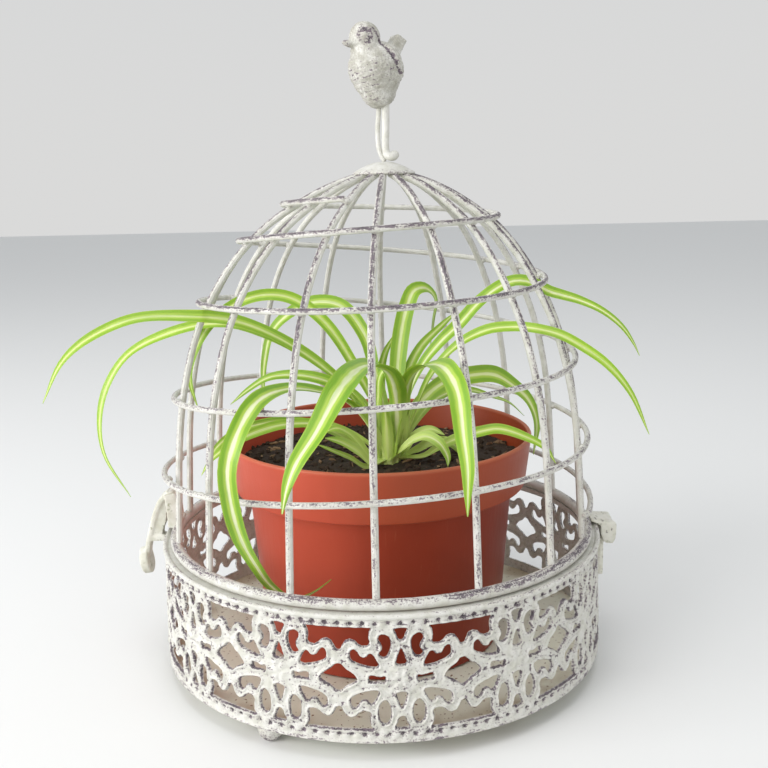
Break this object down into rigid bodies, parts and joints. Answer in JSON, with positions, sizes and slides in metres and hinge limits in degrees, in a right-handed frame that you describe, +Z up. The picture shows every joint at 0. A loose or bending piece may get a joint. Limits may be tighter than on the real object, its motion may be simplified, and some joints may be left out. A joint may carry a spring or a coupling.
{
  "type": "potted spider plant in a domed wire bird-cage holder",
  "caption": "Variegated spider plant in a round plastic pot, standing in a painted openwork tray under a hinged dome of wire ribs and coiled wire with a small bird on top.",
  "frame": {"origin": "centre of the floor plate's underside", "axes": "+Z up, +X to the lid's hinge, -Y to the front that the picture shows"},
  "size_m": [0.2323, 0.1995, 0.2618],
  "materials": {
    "cage_paint": "cream white paint, rubbed back to dark metal on the edges",
    "pot_plastic": "semi-gloss terracotta plastic",
    "compost": "dark crumbly potting compost",
    "leaf": "satin green leaf with a cream stripe along the middle"
  },
  "bodies": {
    "base": {"openwork_band": "cage_paint", "rolled_top_edge": "cage_paint", "floor_plate": "cage_paint", "ball_foot_1": "cage_paint", "ball_foot_2": "cage_paint", "ball_foot_3": "cage_paint", "hinge_leaf": "cage_paint", "hinge_pin": "cage_paint", "pot": "pot_plastic", "compost": "compost", "spider_plant": "leaf"},
    "lid": {"lid_ring": "cage_paint", "rib_01": "cage_paint", "rib_02": "cage_paint", "rib_03": "cage_paint", "rib_04": "cage_paint", "rib_05": "cage_paint", "rib_06": "cage_paint", "rib_07": "cage_paint", "rib_08": "cage_paint", "rib_09": "cage_paint", "rib_10": "cage_paint", "rib_11": "cage_paint", "rib_12": "cage_paint", "rib_13": "cage_paint", "rib_14": "cage_paint", "rib_15": "cage_paint", "rib_16": "cage_paint", "coil_wire": "cage_paint", "dome_cap": "cage_paint", "bird_leg_right": "cage_paint", "bird_leg_left": "cage_paint", "bird": "cage_paint", "hinge_strap": "cage_paint", "latch_bracket": "cage_paint"},
    "latch": {"latch_lever": "cage_paint"}
  },
  "joints": [
    {"name": "lid_hinge", "type": "hinge", "parent": "base", "child": "lid", "pos_m": [0.0976, 0, 0.0445], "axis": [0, 1, 0], "range_deg": [0, 105], "deforming": ["spider_plant"]},
    {"name": "latch_pivot", "type": "hinge", "parent": "lid", "child": "latch", "pos_m": [-0.0895, 0, 0.0634], "axis": [0, 1, 0], "range_deg": [0, 70]}
  ]
}
